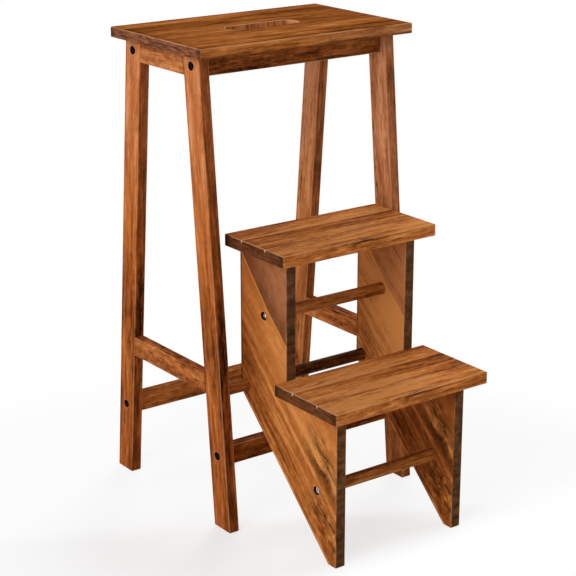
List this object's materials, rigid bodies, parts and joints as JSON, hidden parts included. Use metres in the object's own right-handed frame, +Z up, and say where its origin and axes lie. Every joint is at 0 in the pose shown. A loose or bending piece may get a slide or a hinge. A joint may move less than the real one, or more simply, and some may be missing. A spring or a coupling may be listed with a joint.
{
  "type": "folding step stool",
  "caption": "Tall wooden stool with a slotted seat board on splayed legs and a two-step unit that swings up and back into the frame on a round pivot rod.",
  "frame": {"origin": "on the floor, at the middle of the stool's outer box with the steps set out", "axes": "+Z up from the floor to the seat, +Y from the steps towards the back of the stool, +X to the right along the treads and the pivot rod when facing +Y"},
  "size_m": [0.343, 0.4735, 0.65],
  "materials": {
    "frame_wood": "stained brown hardwood, satin lacquer",
    "seat_wood": "stained brown hardwood, satin lacquer, lighter streaks",
    "panel_wood": "stained brown hardwood, satin lacquer",
    "tread_wood": "stained brown hardwood, satin lacquer, lighter streaks",
    "rod_wood": "stained dark brown hardwood, satin lacquer",
    "dowel_wood": "unfinished pale hardwood",
    "black_steel": "black oxide, semi-matt",
    "bright_steel": "bright plated",
    "zinc_plate": "zinc plated",
    "insert_brass": "plain turned brass"
  },
  "bodies": {
    "frame": {"seat_board": "seat_wood", "front_leg_left": "frame_wood", "front_leg_right": "frame_wood", "rear_leg_left": "frame_wood", "rear_leg_right": "frame_wood", "side_apron_left": "frame_wood", "side_apron_right": "frame_wood", "side_rail_left": "frame_wood", "side_rail_right": "frame_wood", "front_apron": "frame_wood", "rear_apron": "frame_wood", "front_lower_rail": "frame_wood", "rear_lower_rail": "frame_wood", "frame_bolt_front_apron_left": "black_steel", "frame_bolt_front_apron_right": "black_steel", "frame_bolt_rear_apron_left": "black_steel", "frame_bolt_rear_apron_right": "black_steel", "frame_bolt_front_lower_rail_left": "black_steel", "frame_bolt_front_lower_rail_right": "black_steel", "frame_bolt_rear_lower_rail_left": "black_steel", "frame_bolt_rear_lower_rail_right": "black_steel", "barrel_nut_front_apron_left": "zinc_plate", "barrel_nut_front_apron_right": "zinc_plate", "barrel_nut_rear_apron_left": "zinc_plate", "barrel_nut_rear_apron_right": "zinc_plate", "barrel_nut_front_lower_rail_left": "zinc_plate", "barrel_nut_front_lower_rail_right": "zinc_plate", "barrel_nut_rear_lower_rail_left": "zinc_plate", "barrel_nut_rear_lower_rail_right": "zinc_plate", "seat_screw_left_front": "zinc_plate", "seat_screw_left_rear": "zinc_plate", "seat_screw_right_front": "zinc_plate", "seat_screw_right_rear": "zinc_plate", "seat_screw_front": "zinc_plate", "seat_screw_rear": "zinc_plate"},
    "step_unit": {"step_panel_left": "panel_wood", "step_panel_right": "panel_wood", "upper_tread": "tread_wood", "lower_tread": "tread_wood", "upper_rod": "rod_wood", "lower_rod": "rod_wood", "pivot_rod": "rod_wood", "rod_bolt_upper_left": "bright_steel", "rod_bolt_upper_right": "bright_steel", "rod_bolt_lower_left": "bright_steel", "rod_bolt_lower_right": "bright_steel", "rod_insert_upper_left": "insert_brass", "rod_insert_upper_right": "insert_brass", "rod_insert_lower_left": "insert_brass", "rod_insert_lower_right": "insert_brass", "tread_dowel_upper_left_front": "dowel_wood", "tread_dowel_upper_left_rear": "dowel_wood", "tread_dowel_upper_right_front": "dowel_wood", "tread_dowel_upper_right_rear": "dowel_wood", "tread_dowel_lower_left_front": "dowel_wood", "tread_dowel_lower_left_rear": "dowel_wood", "tread_dowel_lower_right_front": "dowel_wood", "tread_dowel_lower_right_rear": "dowel_wood"}
  },
  "joints": [
    {"name": "step_fold", "type": "hinge", "parent": "frame", "child": "step_unit", "pos_m": [0, -0.01801, 0.193], "axis": [-1, 0, 0], "range_deg": [0, 135.5]}
  ]
}
